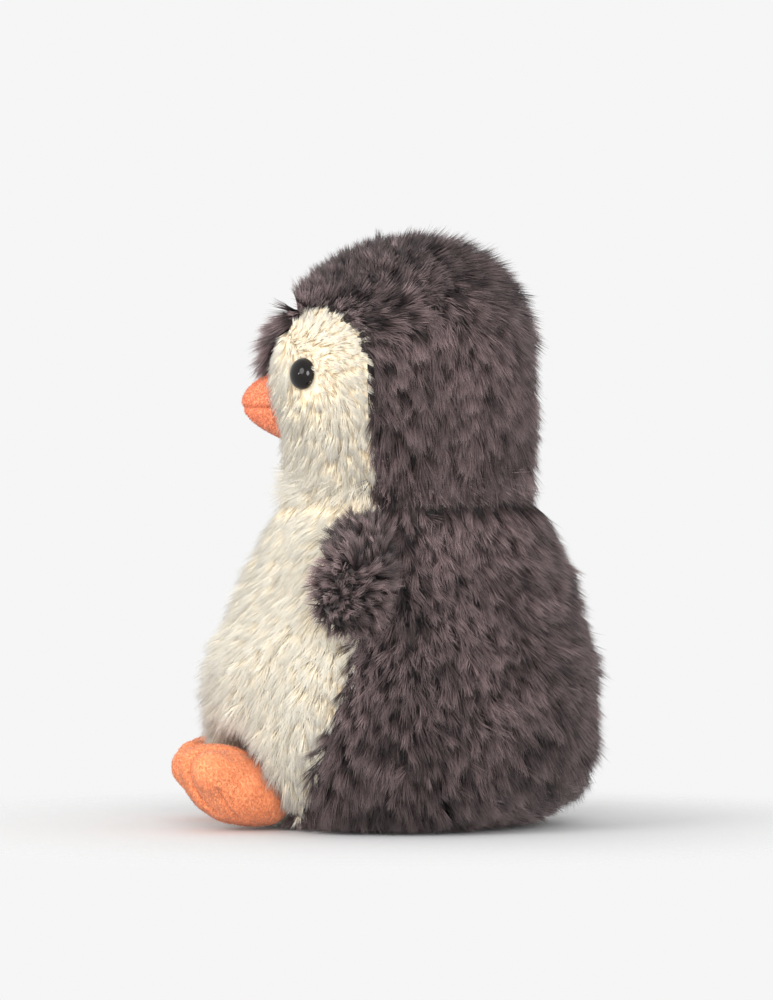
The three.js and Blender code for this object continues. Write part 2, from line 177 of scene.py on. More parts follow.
def relax(obj, times, factor=0.5):
    """Smooths a mesh and puts back the volume that this takes."""
    bm = bmesh.new()
    bm.from_mesh(obj.data)
    before = bm.calc_volume()
    for _ in range(times):
        bmesh.ops.smooth_vert(
            bm, verts=bm.verts, factor=factor, use_axis_x=True, use_axis_y=True, use_axis_z=True
        )
    area = sum(face.calc_area() for face in bm.faces)
    grown = (before - bm.calc_volume()) / area
    bm.normal_update()
    for vert in bm.verts:
        vert.co += vert.normal * grown
    bm.to_mesh(obj.data)
    bm.free()


def inset(obj, depth):
    set_coordinates(obj.data, coordinates(obj.data) - normals(obj.data) * depth)


CLOTH_STEPS = 20  # frames of the cloth simulation


def stuff(obj, pressure, cap, held=()):
    """Blows a skin up as its filling does. The held vertices stay, and none moves further than cap."""
    rest = coordinates(obj.data)
    modifier = obj.modifiers.new("Cloth", "CLOTH")
    settings = modifier.settings
    settings.quality = 6
    settings.mass = 0.25
    settings.tension_stiffness = 12
    settings.compression_stiffness = 12
    settings.bending_stiffness = 0.6
    settings.use_pressure = True
    settings.uniform_pressure_force = pressure
    settings.effector_weights.gravity = 0
    modifier.collision_settings.use_collision = False
    if len(held):
        group = obj.vertex_groups.new(name="held")
        group.add([int(i) for i in held], 1.0, "REPLACE")
        settings.vertex_group_mass = "held"
    modifier.point_cache.frame_start = 1
    modifier.point_cache.frame_end = CLOTH_STEPS
    scene = bpy.context.scene
    for step in range(1, CLOTH_STEPS + 1):
        scene.frame_set(step)
    evaluated = obj.evaluated_get(bpy.context.evaluated_depsgraph_get())
    moved = coordinates(evaluated.data) - rest
    travel = np.linalg.norm(moved, axis=1, keepdims=True)
    obj.modifiers.clear()
    obj.vertex_groups.clear()
    set_coordinates(obj.data, rest + moved * np.minimum(1, cap / np.maximum(travel, 1e-9)))
    scene.frame_set(1)


def subdivide(obj, levels):
    modifier = obj.modifiers.new("Subdivision", "SUBSURF")
    modifier.levels = levels
    bake_modifiers(obj)
    shade_smooth(obj)


def shade_smooth(obj):
    obj.data.polygons.foreach_set("use_smooth", np.ones(len(obj.data.polygons), bool))
    obj.data.update()


def finish_piece(obj, material, body, nodes=(), blend=None):
    """Gives a piece its material, the nodes that it stands for, and what it goes with.

    body is the name of the body that the piece goes with, and is not used with blend. blend, when given,
    only has the piece's place baked in, and its heights are not used.
    """
    obj.data.materials.clear()
    obj.data.materials.append(material)
    if nodes:
        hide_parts(*nodes)
    if blend:
        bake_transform(obj)
    else:
        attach(obj, body)
    return obj


# ---------------------------------------------------------------- pile
TRIES = 7  # candidate roots in each lock's share of a skin
CELL = 1.22  # the size of the cells that keep one root each, in lock spacings


def scatter(obj, spacing, rng):
    """Roots spread evenly over a skin, with the skin's normals there."""
    mesh = obj.data
    mesh.calc_loop_triangles()
    corner = np.empty(len(mesh.loop_triangles) * 3, np.int32)
    mesh.loop_triangles.foreach_get("vertices", corner)
    corner = corner.reshape(-1, 3)
    co, no = coordinates(mesh), normals(mesh)
    a, b, c = co[corner[:, 0]], co[corner[:, 1]], co[corner[:, 2]]
    area = np.linalg.norm(np.cross(b - a, c - a), axis=1) / 2
    count = int(area.sum() / spacing**2 * TRIES)
    pick = rng.choice(len(area), count, p=area / area.sum())
    u, v = rng.random(count), rng.random(count)
    flip = u + v > 1
    u[flip], v[flip] = 1 - u[flip], 1 - v[flip]
    w = np.stack([1 - u - v, u, v], axis=1)[:, :, None]
    points = (co[corner[pick]] * w).sum(axis=1)
    facing = unit((no[corner[pick]] * w).sum(axis=1))
    cell = np.floor(points / (spacing * CELL)).astype(np.int64)
    _, first = np.unique(cell, axis=0, return_index=True)
    first.sort()
    return points[first], facing[first]


def gap_to(tree, points):
    """How far each point is from the tree's surface."""
    return np.array([tree.find_nearest(Vector(point))[3] for point in points])


def nearest_of(trees, points):
    """The index of the tree whose surface is nearest to each point."""
    return np.array([gap_to(tree, points) for tree in trees]).argmin(axis=0)


# a strand's root, and its three sides up to its tip
STRAND_FACES = np.array([(2, 1, 0), (0, 1, 3), (1, 2, 3), (2, 0, 3)])


def ripple(points, size, rng):
    """A smooth random value at each point, from about -2 to 2, that changes over this distance."""
    waves = [(rng.normal(0, 1, 3) * 2.2 / size, rng.uniform(0, 2 * math.pi)) for _ in range(8)]
    return sum(np.sin(points @ wave + phase) for wave, phase in waves) / 2


def grow(name, roots, facing, comb, rng, *, length, lift, settle, per_lock, width, spread, clump=0.6,
         jitter=0.22, curl=0.16, droop=0.0, shade=0.0, floor=0.4 * MM):
    """Locks of tapered strands on these roots.

    comb gives the way the pile lies. lift is a lock's angle off the skin, in radians, and settle that of its
    lowest strands. clump is how much closer a lock's tips are than its roots. length, lift, settle, jitter,
    curl, droop and shade are each one value, or an array with one for every root. shade lightens or darkens
    the locks' colour, and the callers paint light and shade with it.
    """
    count = len(roots)
    wave_rng = np.random.default_rng(5)  # the same waves on every piece, so that they run on over its edges
    turned, raised, shaded = (ripple(roots, size * MM, wave_rng) for size in (16, 11, 9))
    length = length * rng.uniform(0.82, 1.14, count)
    lie = unit(comb - (comb * facing).sum(1, keepdims=True) * facing)
    across = unit(np.cross(facing, lie))
    turn = (rng.normal(0, 1, count) * jitter + 0.12 * turned)[:, None]
    lie = unit(lie * np.cos(turn) + across * np.sin(turn))
    across = unit(np.cross(facing, lie))
    lifted = lift * rng.uniform(0.75, 1.2, count) * (1 + 0.14 * raised)
    bend = rng.normal(0, 1, count) * curl
    lock_shade = np.clip(rng.normal(0.5, 0.24, count) + 0.1 * shaded + shade, 0, 1)

    many = count * per_lock
    lock = np.repeat(np.arange(count), per_lock)
    offset = rng.normal(0, 0.55, (many, 2)) * spread
    own = rng.uniform(0.84, 1.02, many)
    low = rng.random(many) ** 2
    lowest = settle[lock] if np.ndim(settle) else settle
    angle = (lifted[lock] * (1 - low) + lowest * low + rng.normal(0, 0.08, many))[:, None]
    side = (bend[lock] + rng.normal(0, 0.1, many))[:, None]
    way = unit(lie[lock] * np.cos(angle) + facing[lock] * np.sin(angle) + across[lock] * side)
    way = unit(way - UP * (droop[lock] if np.ndim(droop) else droop))
    start = roots[lock] + lie[lock] * offset[:, :1] + across[lock] * offset[:, 1:]
    inwards = lie[lock] * offset[:, :1] * 0.3 + across[lock] * offset[:, 1:]
    end = start + way * (length[lock] * own)[:, None] - inwards * clump
    end[:, 2] = np.maximum(end[:, 2], floor)

    side_a = unit(np.cross(way, facing[lock]))
    side_b = np.cross(side_a, way)
    first = rng.uniform(0, 2 * math.pi, many)
    radius = (width / 2 * rng.uniform(0.75, 1.25, many))[:, None]
    verts = np.empty((many, 4, 3))
    for corner in range(3):
        turn = (first + corner * 2 * math.pi / 3)[:, None]
        verts[:, corner] = start + (side_a * np.cos(turn) + side_b * np.sin(turn)) * radius
    verts[:, 3] = end
    verts[:, :, 2] = np.maximum(verts[:, :, 2], floor / 2)
    tint = np.clip(lock_shade[lock] + rng.normal(0, 0.09, many), 0, 1)
    return strands_object(name, verts, np.repeat(tint, 4))


def strands_object(name, verts, tint):
    """One mesh of all these strands, each three points round its root and one at its tip."""
    many = len(verts)
    faces = (STRAND_FACES[None] + (np.arange(many) * 4)[:, None, None]).reshape(-1, 3)
    mesh = bpy.data.meshes.new(name)
    mesh.vertices.add(many * 4)
    mesh.vertices.foreach_set("co", verts.astype(np.float32).ravel())
    mesh.loops.add(faces.size)
    mesh.loops.foreach_set("vertex_index", faces.astype(np.int32).ravel())
    mesh.polygons.add(len(faces))
    mesh.polygons.foreach_set("loop_start", np.arange(0, faces.size, 3, dtype=np.int32))
    mesh.polygons.foreach_set("use_smooth", np.ones(len(faces), bool))
    for label, values in (("tone", np.tile([0.0, 0.0, 0.0, 1.0], many)), ("tint", tint)):
        layer = mesh.attributes.new(label, "FLOAT", "POINT")
        layer.data.foreach_set("value", values.astype(np.float32))
    mesh.update(calc_edges=True)
    return link(bpy.data.objects.new(name, mesh))


# ---------------------------------------------------------------- materials
def srgb(red, green, blue):
    """A linear colour from 0 to 255 values."""
    return tuple(
        ((v / 255 + 0.055) / 1.055) ** 2.4 if v > 10 else v / 255 / 12.92 for v in (red, green, blue)
    ) + (1,)


class Surface:
    """A Principled material, with short ways to add its nodes."""

    def __init__(self, name, roughness, **constants):
        self.material = bpy.data.materials.new(name)
        self.material.use_nodes = True
        self.tree = self.material.node_tree
        self.shader = self.tree.nodes["Principled BSDF"]
        self.shader.inputs["Roughness"].default_value = roughness
        for socket, value in constants.items():
            self.shader.inputs[socket.replace("_", " ")].default_value = value

    def node(self, kind, **settings):
        node = self.tree.nodes.new("ShaderNode" + kind)
        for key, value in settings.items():
            setattr(node, key, value)
        return node

    def link(self, source, target):
        self.tree.links.new(source, target)

    def position(self):
        return self.node("TexCoord").outputs["Object"]

    def attribute(self, name):
        return self.node("Attribute", attribute_name=name).outputs["Fac"]

    def ramp(self, source, *stops):
        """A colour ramp from (place, colour) stops."""
        node = self.node("ValToRGB")
        elements = node.color_ramp.elements
        while len(elements) < len(stops):
            elements.new(0.5)
        for element, (place, colour) in zip(elements, stops):
            element.position = place
            element.color = colour
        self.link(source, node.inputs["Fac"])
        return node.outputs["Color"]

    def noise(self, scale, detail=3, vector=None):
        node = self.node("TexNoise")
        node.inputs["Scale"].default_value = scale
        node.inputs["Detail"].default_value = detail
        self.link(vector or self.position(), node.inputs["Vector"])
        return node.outputs["Fac"]

    def mix(self, kind, factor, a, b):
        node = self.node("Mix", data_type="RGBA", blend_type=kind)
        for source, socket in ((factor, node.inputs[0]), (a, node.inputs[6]), (b, node.inputs[7])):
            if isinstance(source, (int, float, tuple)):
                socket.default_value = source
            else:
                self.link(source, socket)
        return node.outputs[2]

    def colour(self, source):
        self.link(source, self.shader.inputs["Base Color"])

    def bump(self, height, strength, distance):
        node = self.node("Bump")
        node.inputs["Strength"].default_value = strength
        node.inputs["Distance"].default_value = distance
        self.link(height, node.inputs["Height"])
        self.link(node.outputs["Normal"], self.shader.inputs["Normal"])


def grey(value):
    return (value, value, value, 1)


def pile_material(name, root, middle, outer, tip, tints, patches, **constants):
    """Pile that is darker towards its roots: painted shade deep in the pile, between the strands.

    tints are the least and the most that a strand's own tint multiplies its colour by, and patches the same
    for wide areas.
    """
    surface = Surface(name, **constants)
    # root to tip: the dark roots and middles are painted shade between the strands
    along = surface.ramp(surface.attribute("tone"), (0.0, root), (0.5, middle), (0.82, outer), (1.0, tip))
    spread = surface.ramp(surface.attribute("tint"), (0.0, tints[0]), (1.0, tints[1]))
    toned = surface.mix("MULTIPLY", 1.0, along, spread)
    wide = surface.ramp(surface.noise(38, 2), (0.3, patches[0]), (0.7, patches[1]))
    surface.colour(surface.mix("MULTIPLY", 1.0, toned, wide))
    return surface.material


GREY_FINISH = dict(roughness=0.45, Specular_IOR_Level=0.32, Sheen_Weight=0.05, Sheen_Roughness=0.5)
CREAM_FINISH = dict(roughness=0.75, Specular_IOR_Level=0.12, Sheen_Weight=0.25, Sheen_Roughness=0.6)
GREY_TINTS = (grey(0.22), (2.1, 2.04, 2.04, 1))
CREAM_TINTS = ((0.97, 0.955, 0.93, 1), grey(1.0))

# Each pile's root colour is its darkest: painted shade deep in the pile.
grey_pile = pile_material(
    "Grey_pile", srgb(12, 7, 7), srgb(50, 38, 38), srgb(128, 110, 110), srgb(178, 161, 160), GREY_TINTS,
    (grey(0.9), grey(1.0)), **GREY_FINISH,
)
wing_pile = pile_material(
    "Wing_pile", srgb(16, 10, 9), srgb(62, 48, 48), srgb(132, 114, 113), srgb(178, 160, 158), GREY_TINTS,
    (grey(0.92), grey(1.0)), **GREY_FINISH,
)
cream_pile = pile_material(
    "Cream_pile", srgb(252, 232, 194), srgb(254, 244, 222), srgb(255, 250, 238), srgb(255, 252, 244),
    CREAM_TINTS, (grey(0.98), grey(1.0)), **CREAM_FINISH,
)


def velour_material(name, deep, body, light):
    """Short nap: fine tufts, with streaks where it has been brushed."""
    surface = Surface(name, 0.85, Sheen_Weight=0.45, Sheen_Roughness=0.4, Sheen_Tint=(1.0, 0.82, 0.68, 1))
    place = surface.position()
    stretch = surface.node("Mapping")
    stretch.inputs["Scale"].default_value = (1, 1, 0.45)
    stretch.inputs["Rotation"].default_value = (0.6, 0.3, 0)
    surface.link(place, stretch.inputs["Vector"])
    tufts = surface.noise(1150, 3, stretch.outputs["Vector"])
    brushed = surface.noise(160, 3, place)
    fine = surface.ramp(tufts, (0.3, deep), (0.5, body), (0.72, light))
    wide = surface.ramp(brushed, (0.3, grey(0.93)), (0.7, grey(1.05)))
    surface.colour(surface.mix("MULTIPLY", 1.0, fine, wide))
    surface.bump(tufts, 0.75, 0.5 * MM)
    return surface.material


orange_foot = velour_material("Orange_foot", srgb(222, 128, 80), srgb(240, 149, 100), srgb(248, 168, 120))
orange_beak = velour_material("Orange_beak", srgb(214, 118, 80), srgb(232, 138, 98), srgb(242, 154, 114))


def nap_material(name, root, tip):
    surface = Surface(name, 0.7, Sheen_Weight=0.3, Sheen_Roughness=0.4, Specular_IOR_Level=0.3)
    # darker towards the root: painted shade deep in the nap
    along = surface.ramp(surface.attribute("tone"), (0.0, root), (0.8, tip))
    tint = surface.attribute("tint")
    # the palest tints give the painted highlight along the toe ridges
    spread = surface.ramp(tint, (0.0, grey(0.8)), (0.7, grey(1.08)), (1.0, (1.12, 1.3, 1.5, 1)))
    surface.colour(surface.mix("MULTIPLY", 1.0, along, spread))
    return surface.material


foot_nap = nap_material("Foot_nap", srgb(216, 116, 66), srgb(245, 156, 106))
beak_nap = nap_material("Beak_nap", srgb(208, 104, 68), srgb(236, 138, 98))


def thread_material():
    surface = Surface("Orange_thread", 0.8, Sheen_Weight=0.2)
    twist = surface.noise(1500, 2)
    surface.colour(surface.ramp(twist, (0.3, srgb(168, 82, 44)), (0.7, srgb(206, 112, 66))))
    surface.bump(twist, 0.5, 0.2 * MM)
    return surface.material


def eye_material():
    surface = Surface("Eye_black", 0.06, Specular_IOR_Level=0.3)
    cloud = surface.noise(220, 2)
    surface.colour(surface.ramp(cloud, (0.35, srgb(14, 10, 9)), (0.7, srgb(24, 19, 18))))
    scuffs = surface.noise(900, 4)
    surface.bump(scuffs, 0.03, 0.1 * MM)
    return surface.material


def cloth_material(name, dark, light, scale, roughness=0.85):
    """A fine grain between two colours, for cloth and for the plastic inside. scale is the grain's."""
    surface = Surface(name, roughness, Sheen_Weight=0.2)
    weave = surface.noise(scale, 2)
    surface.colour(surface.ramp(weave, (0.35, dark), (0.65, light)))
    surface.bump(weave, 0.4, 0.3 * MM)
    return surface.material


backing = cloth_material("Backing_cloth", srgb(46, 37, 36), srgb(62, 52, 50), 900, 0.9)
cream_backing = cloth_material("Cream_backing_cloth", srgb(240, 220, 188), srgb(247, 231, 206), 900, 0.9)
thread = thread_material()
eye_black = eye_material()
pouch_cloth = cloth_material("Pouch_cloth", srgb(196, 190, 180), srgb(226, 221, 212), 1400)
pellet_plastic = cloth_material("Pellets", srgb(206, 206, 202), srgb(240, 240, 236), 300)
washer_plastic = cloth_material("Washer_plastic", srgb(222, 222, 216), srgb(240, 240, 236), 500)


def keep_node(node, material):
    """A CAD node that stays as it is, with a finished material."""
    obj = frame["nodes"][node]
    obj.data.materials.clear()
    obj.data.materials.append(material)


# ---------------------------------------------------------------- the way the pile lies
def millimetres(points):
    return points[:, 0] / MM, points[:, 1] / MM, points[:, 2] / MM


def smoothstep(low, high, value):
    t = np.clip((value - low) / (high - low), 0, 1)
    return t * t * (3 - 2 * t)


def comb_back(points):
    """Down, fanned forwards by the belly seam and backwards over the seat, and out along the floor."""
    x, y, z = millimetres(points)
    fan = np.clip((y - 14) / 75, -0.55, 0.8)
    low = 1 - smoothstep(10, 34, z)
    ahead = np.minimum(fan, 0) * (1 - low)
    behind = np.maximum(fan, 0) * (1 + 1.2 * low)
    return np.stack([x * 0.002, 0.75 * (ahead + behind), -1 + 0.55 * low], axis=1)


def comb_belly(points):
    """Down, turned forwards high up and towards the side seams low down."""
    x, _, z = millimetres(points)
    high = smoothstep(60, 110, z)
    return np.stack([x * 0.003, 0.1 - 0.42 * high, -np.ones(len(z))], axis=1)


CROWN = np.array([0.0, -6.0, 224.0]) * MM


def comb_head(points):
    """Out and down from the crown on every side, but up and back over the forehead."""
    x, y, z = millimetres(points)
    away = unit(points - CROWN)
    away[:, 1] *= 0.3 + 0.7 * smoothstep(182, 206, z)
    back = smoothstep(10, 50, y)[:, None]
    brow = (smoothstep(186, 204, z) * (1 - smoothstep(0, 25, y)))[:, None]
    temple = (smoothstep(14, 24, np.abs(x)) * (1 - smoothstep(-8, 12, y)) * smoothstep(172, 190, z))[:, None]
    peak = ((1 - smoothstep(188, 202, z)) * (1 - smoothstep(-34, -24, y)))[:, None]
    inwards = np.stack([x * -0.1, np.full(len(x), -0.5), np.full(len(x), -1.0)], axis=1)
    above = away + np.array([0, 0.25, 0]) * back + np.array([0, 1.2, 0.7]) * brow
    above = above + np.array([0, 0.7, 0]) * temple
    return above * (1 - peak) + inwards * peak


def comb_face(points):
    """Back and a little up over the eye, and down over the cheek."""
    _, y, z = millimetres(points)
    turn = np.radians(-90 + 98 * smoothstep(148, 196, z))
    turn -= np.radians(130) * (1 - smoothstep(-42, -31, y)) * smoothstep(150, 175, z)
    return np.stack([np.zeros(len(z)), np.cos(turn), np.sin(turn)], axis=1)


def comb_under(points):
    """Outwards from the middle of the underside."""
    x, y, _ = millimetres(points)
    return np.stack([x, y - 7, np.zeros(len(x))], axis=1)


# ---------------------------------------------------------------- body
BODY_NODES = ["belly_panel", "back_panel_left", "back_panel_right", "base_panel", "body_stuffing"]
BODY_FILL = ["pouch_top", "pouch_bottom", "pouch_pellets", "neck_stuffing"]
HEAD_NODES = [
    "face_panel_left", "face_panel_right", "head_side_panel_left", "head_side_panel_right", "crown_gusset",
    "head_stuffing",
]
PILE_DEPTH = 3.5 * MM  # how far the skins lie inside the CAD's outside
LONG_PILE = 14.5  # the length of the long pile, in millimetres
BODY_STRETCH = 0.085  # the height over which the body is stretched up to the neck's groove
HEAD_STRETCH = 0.162  # the height under which the head is stretched down to it
NECK_RADIUS = np.array([42.0, 40.5]) * MM
NECK_HALF = 9 * MM
BODY_BEND = (0.117, 0.130)  # two heights, passed as blend to the body's pieces
HEAD_BEND = (0.127, 0.150)  # and two passed as blend to the neck's and the head's


def reach(obj, start, end):
    """Stretches what lies beyond the height start, so that it ends at the height end."""
    co = coordinates(obj.data)
    sign = np.sign(end - start)
    far = (co[:, 2] * sign).max() * sign
    beyond = (co[:, 2] - start) * sign > 0
    co[beyond, 2] = start + (co[beyond, 2] - start) * (end - start) / (far - start)
    set_coordinates(obj.data, co)


def body_skin():
    """The body, closed over the shoulders. What rests on the floor stays flat."""
    obj = rough_form("body_skin", BODY_NODES + BODY_FILL, voxel=4 * MM)
    co = coordinates(obj.data)
    co[:, 2] = np.minimum(co[:, 2], NECK[2] - GROOVE)
    set_coordinates(obj.data, co)
    relax(obj, times=4)
    inset(obj, PILE_DEPTH)
    reach(obj, BODY_STRETCH, NECK[2] - 2 * MM)
    flat = np.flatnonzero(coordinates(obj.data)[:, 2] < PILE_DEPTH + 1 * MM)
    stuff(obj, pressure=1.5, cap=1.5 * MM, held=flat)
    shade_smooth(obj)
    return obj


def head_skin():
    """The head, closed under the chin, with the beak's and the eyes' hollows filled."""
    nodes = HEAD_NODES + ["neck_stuffing", "beak_stuffing", "eye_left", "eye_right"]
    obj = rough_form("head_skin", nodes, voxel=4 * MM)
    co = coordinates(obj.data)
    co[:, 2] = np.maximum(co[:, 2], NECK[2] + GROOVE)
    set_coordinates(obj.data, co)
    relax(obj, times=4)
    inset(obj, PILE_DEPTH)
    reach(obj, HEAD_STRETCH, NECK[2] + 2 * MM)
    stuff(obj, pressure=1.5, cap=1.5 * MM)
    shade_smooth(obj)
    return obj


def neck_skin():
    """A soft band that fills the groove between the body and the head."""
    rings, around = 7, 64
    verts = []
    for k in range(rings):
        t = k / (rings - 1) * 2 - 1
        bulge = math.cos(t * math.pi / 2 * 0.8)
        radius = NECK_RADIUS * (0.86 + 0.14 * bulge)
        for i in range(around):
            angle = 2 * math.pi * i / around
            verts.append(
                (NECK[0] + radius[0] * math.cos(angle), NECK[1] - 1 * MM + radius[1] * math.sin(angle),
                 NECK[2] + t * NECK_HALF)
            )
    faces = [
        (
            r * around + i, r * around + (i + 1) % around,
            (r + 1) * around + (i + 1) % around, (r + 1) * around + i,
        )
        for r in range(rings - 1)
        for i in range(around)
    ]
    faces.append(tuple(range(around - 1, -1, -1)))
    faces.append(tuple(range((rings - 1) * around, rings * around)))
    mesh = bpy.data.meshes.new("neck_skin")
    mesh.from_pydata(verts, [], faces)
    obj = link(bpy.data.objects.new("neck_skin", mesh))
    shade_smooth(obj)
    return obj


MOST_STRANDS = 45000  # in one piece


def chunks(order, most):
    """Splits an order of locks into equal runs, none longer than most."""
    return np.array_split(order, max(1, math.ceil(len(order) / most)))


def cover(label, roots, facing, comb, *, seed, slot, material, body, nodes, blend=None, **style):
    """Grows one panel's pile as one or more pieces, in bands of height.

    style is what grow takes. An array in it has one value for every root, and the bands share it out.
    """
    order = np.argsort(roots[:, 2])
    for band, picked in enumerate(chunks(order, MOST_STRANDS // style["per_lock"])):
        rng = np.random.default_rng(seed * 100 + band)
        own = {key: value[picked] if np.ndim(value) else value for key, value in style.items()}
        piece = grow(f"{label}_{band + 1}", roots[picked], facing[picked], comb[picked], rng, **own)
        finish_piece(piece, material, body, nodes, blend)


def paint_cream(skin, panels, cream):
    """Gives the skin cream backing under its cream panels. panels are all the nodes round it, cream those."""
    centres = np.empty(len(skin.data.polygons) * 3)
    skin.data.polygons.foreach_get("center", centres)
    nearest = nearest_of([cad_tree(node) for node in panels], centres.reshape(-1, 3))
    pale = np.array([node in cream for node in panels])[nearest]
    skin.data.materials.append(cream_backing)
    skin.data.polygons.foreach_set("material_index", pale.astype(np.int32))


def clear_of(points, trees, margin):
    """Which points are at least margin outside each of these closed surfaces."""
    keep = np.ones(len(points), bool)
    for tree in trees:
        keep &= distance(tree, points) > margin
    return keep


FOOT_PITCH = math.radians(33)  # by which the toes point up
TOE_LINE = 6.5  # millimetres from the foot's middle to each seam between its toes
DART = np.array([[-61.8, 17.0], [-58.6, 10.5], [-54.3, 5.4]])  # the closing seam on its outer side, as (Y, Z)


def room(roots, facing, comb, length, trees, margin):
    """The share of a strand of this length that stays this far outside the trees, on each root."""
    lie = unit(comb - (comb * facing).sum(1, keepdims=True) * facing)
    rise = 0.5  # a strand's angle off the skin, in radians
    way = lie * math.cos(rise) + facing * math.sin(rise)
    free = np.ones(len(roots))
    close = np.flatnonzero(~clear_of(roots, trees, length + margin))
    for share in (1.0, 0.85, 0.7, 0.55, 0.4):
        blocked = ~clear_of(roots[close] + way[close] * length * share, trees, margin)
        free[close[blocked]] = share - 0.15
    return free


def seam_trim(grey_side, points):
    """The share of its length that cream pile keeps at each point, less beside the grey panels."""
    return 0.62 + 0.38 * smoothstep(4, 11, gap_to(grey_side, points) / MM)


def along_line(points, line):
    """How far each point is from a line of straight pieces."""
    gaps = []
    for a, b in zip(line[:-1], line[1:]):
        share = np.clip((points - a) @ (b - a) / ((b - a) @ (b - a)), 0, 1)
        gaps.append(np.linalg.norm(points - a - share[:, None] * (b - a), axis=1))
    return np.min(gaps, axis=0)


def toe_seam(points, side, beyond, width):
    """How near each point is to the seams between the toes, or to the ridges this far beyond them, 0 to 1."""
    hinge = JOINTS[f"foot_{side}_lift"]
    right = -np.array(hinge["axis"])
    ahead = np.cross(UP, right) * -1
    toes = ahead * math.cos(FOOT_PITCH) + UP * math.sin(FOOT_PITCH)
    from_hinge = (points - np.array(hinge["pos_m"])) / MM
    across, forwards = np.abs(from_hinge @ right), from_hinge @ toes
    return np.exp(-(((across - TOE_LINE - beyond) / width) ** 2)) * smoothstep(13, 25, forwards)


def sew_foot(obj, side):
    """Pulls in the seams between the toes, and the closing seam with its puckers."""
    co = coordinates(obj.data)
    depth = 3.0 * toe_seam(co, side, beyond=0, width=1.5)
    outer = np.abs(co[:, 0]) > np.abs(JOINTS[f"foot_{side}_lift"]["pos_m"][0])
    gap = along_line(co[:, 1:] / MM, DART)
    middle = along_line(co[:, 1:] / MM, DART[:2])
    puckers = 0.12 * np.cos(middle * 2.2) * np.exp(-((gap / 3) ** 2))
    depth += outer * (0.8 * np.exp(-((gap / 0.8) ** 2)) + puckers)
    co -= normals(obj.data) * depth[:, None] * MM
    co[:, 2] = np.maximum(co[:, 2], 0.15 * MM)
    set_coordinates(obj.data, co)


def build_feet():
    feet = {}
    for side in SIDES:
        nodes = [f"foot_upper_{side}", f"foot_sole_{side}", f"foot_stuffing_{side}"]
        obj = rough_form(f"foot_{side}", nodes, voxel=2 * MM)
        relax(obj, times=3)
        inset(obj, 1.4 * MM)
        flat = np.flatnonzero(coordinates(obj.data)[:, 2] < 1 * MM)
        stuff(obj, pressure=5, cap=1 * MM, held=flat)
        subdivide(obj, levels=2)
        sew_foot(obj, side)
        finish_piece(obj, orange_foot, f"foot_{side}", nodes)
        # the nap along the toe ridges is made paler: a painted highlight where the velour catches the light
        nap(
            obj, f"foot_nap_{side}", foot_nap, f"foot_{side}", seed=81,
            painted_highlight=lambda points: 0.8 * toe_seam(points, side, beyond=2.2, width=1.2),
        )
        feet[side] = obj
    return feet


def nap(skin, name, material, body, seed, painted_highlight=lambda points: 0.0):
    """Short upright pile over a velour skin, brushed downwards. The function given last says how much lighter
    each root is made: a painted highlight.
    """
    rng = np.random.default_rng(seed)
    roots, facing = scatter(skin, spacing=0.66 * MM, rng=rng)
    comb = np.tile([0.0, 0.15, -1.0], (len(roots), 1)) + rng.normal(0, 0.35, (len(roots), 3))
    piece = grow(
        name, roots - facing * 0.15 * MM, facing, comb, rng, length=1.0 * MM, lift=np.radians(52), settle=0.6,
        per_lock=3, width=0.34 * MM, spread=0.3 * MM, floor=0.1 * MM, shade=painted_highlight(roots) - 0.1,
    )
    finish_piece(piece, material, body)


def build_wings(rng_seed):
    for index, (side, sign) in enumerate(SIDES.items()):
        outer, inner = f"wing_outer_{side}", f"wing_inner_{side}"
        nodes = [outer, inner, f"wing_stuffing_{side}"]
        obj = rough_form(f"wing_skin_{side}", nodes, voxel=2.5 * MM)
        relax(obj, times=4)
        inset(obj, 4 * MM)
        stuff(obj, pressure=3, cap=1.5 * MM)
        shade_smooth(obj)
        rng = np.random.default_rng(rng_seed + index)
        roots, facing = scatter(obj, spacing=1.9 * MM, rng=rng)
        part = nearest_of([cad_tree(outer), cad_tree(inner)], roots)
        centre = coordinates(obj.data).mean(axis=0)
        hinge = np.array(JOINTS[f"wing_{side}_lift"]["pos_m"])
        swirl_middle = centre + (centre - hinge) * 0.12
        away = roots - swirl_middle
        swirl = np.cross(facing, unit(away)) * sign
        for which, (node, per_lock, swirled) in enumerate(((outer, 16, 0.9), (inner, 8, 0.2))):
            mine = part == which
            comb = unit(away[mine]) * 0.7 + swirl[mine] * swirled
            near = np.linalg.norm(away[mine], axis=1) / MM
            lift = np.radians(48) + np.radians(20) * np.clip(1 - near / 16, 0, 1)
            cover(
                f"wing_{node.split('_')[1]}_pile_{side}", roots[mine], facing[mine], comb,
                seed=rng_seed + 7 * which + index, slot="grey_plush", material=wing_pile, body=f"wing_{side}",
                nodes=[node], length=9.3 * MM, lift=lift, settle=0.7, per_lock=per_lock, width=0.42 * MM,
                spread=0.9 * MM, curl=0.5, jitter=0.5,
            )
        finish_piece(obj, backing, f"wing_{side}", nodes[2:])


HEEL_END = -29  # the Y of the feet's rear ends
HEEL_LINE = (3, 1.3)  # the pile outside a heel stays over a line with this height and slope
HEEL_OUTSIDE = 36  # how far from the middle the outsides of the heels start


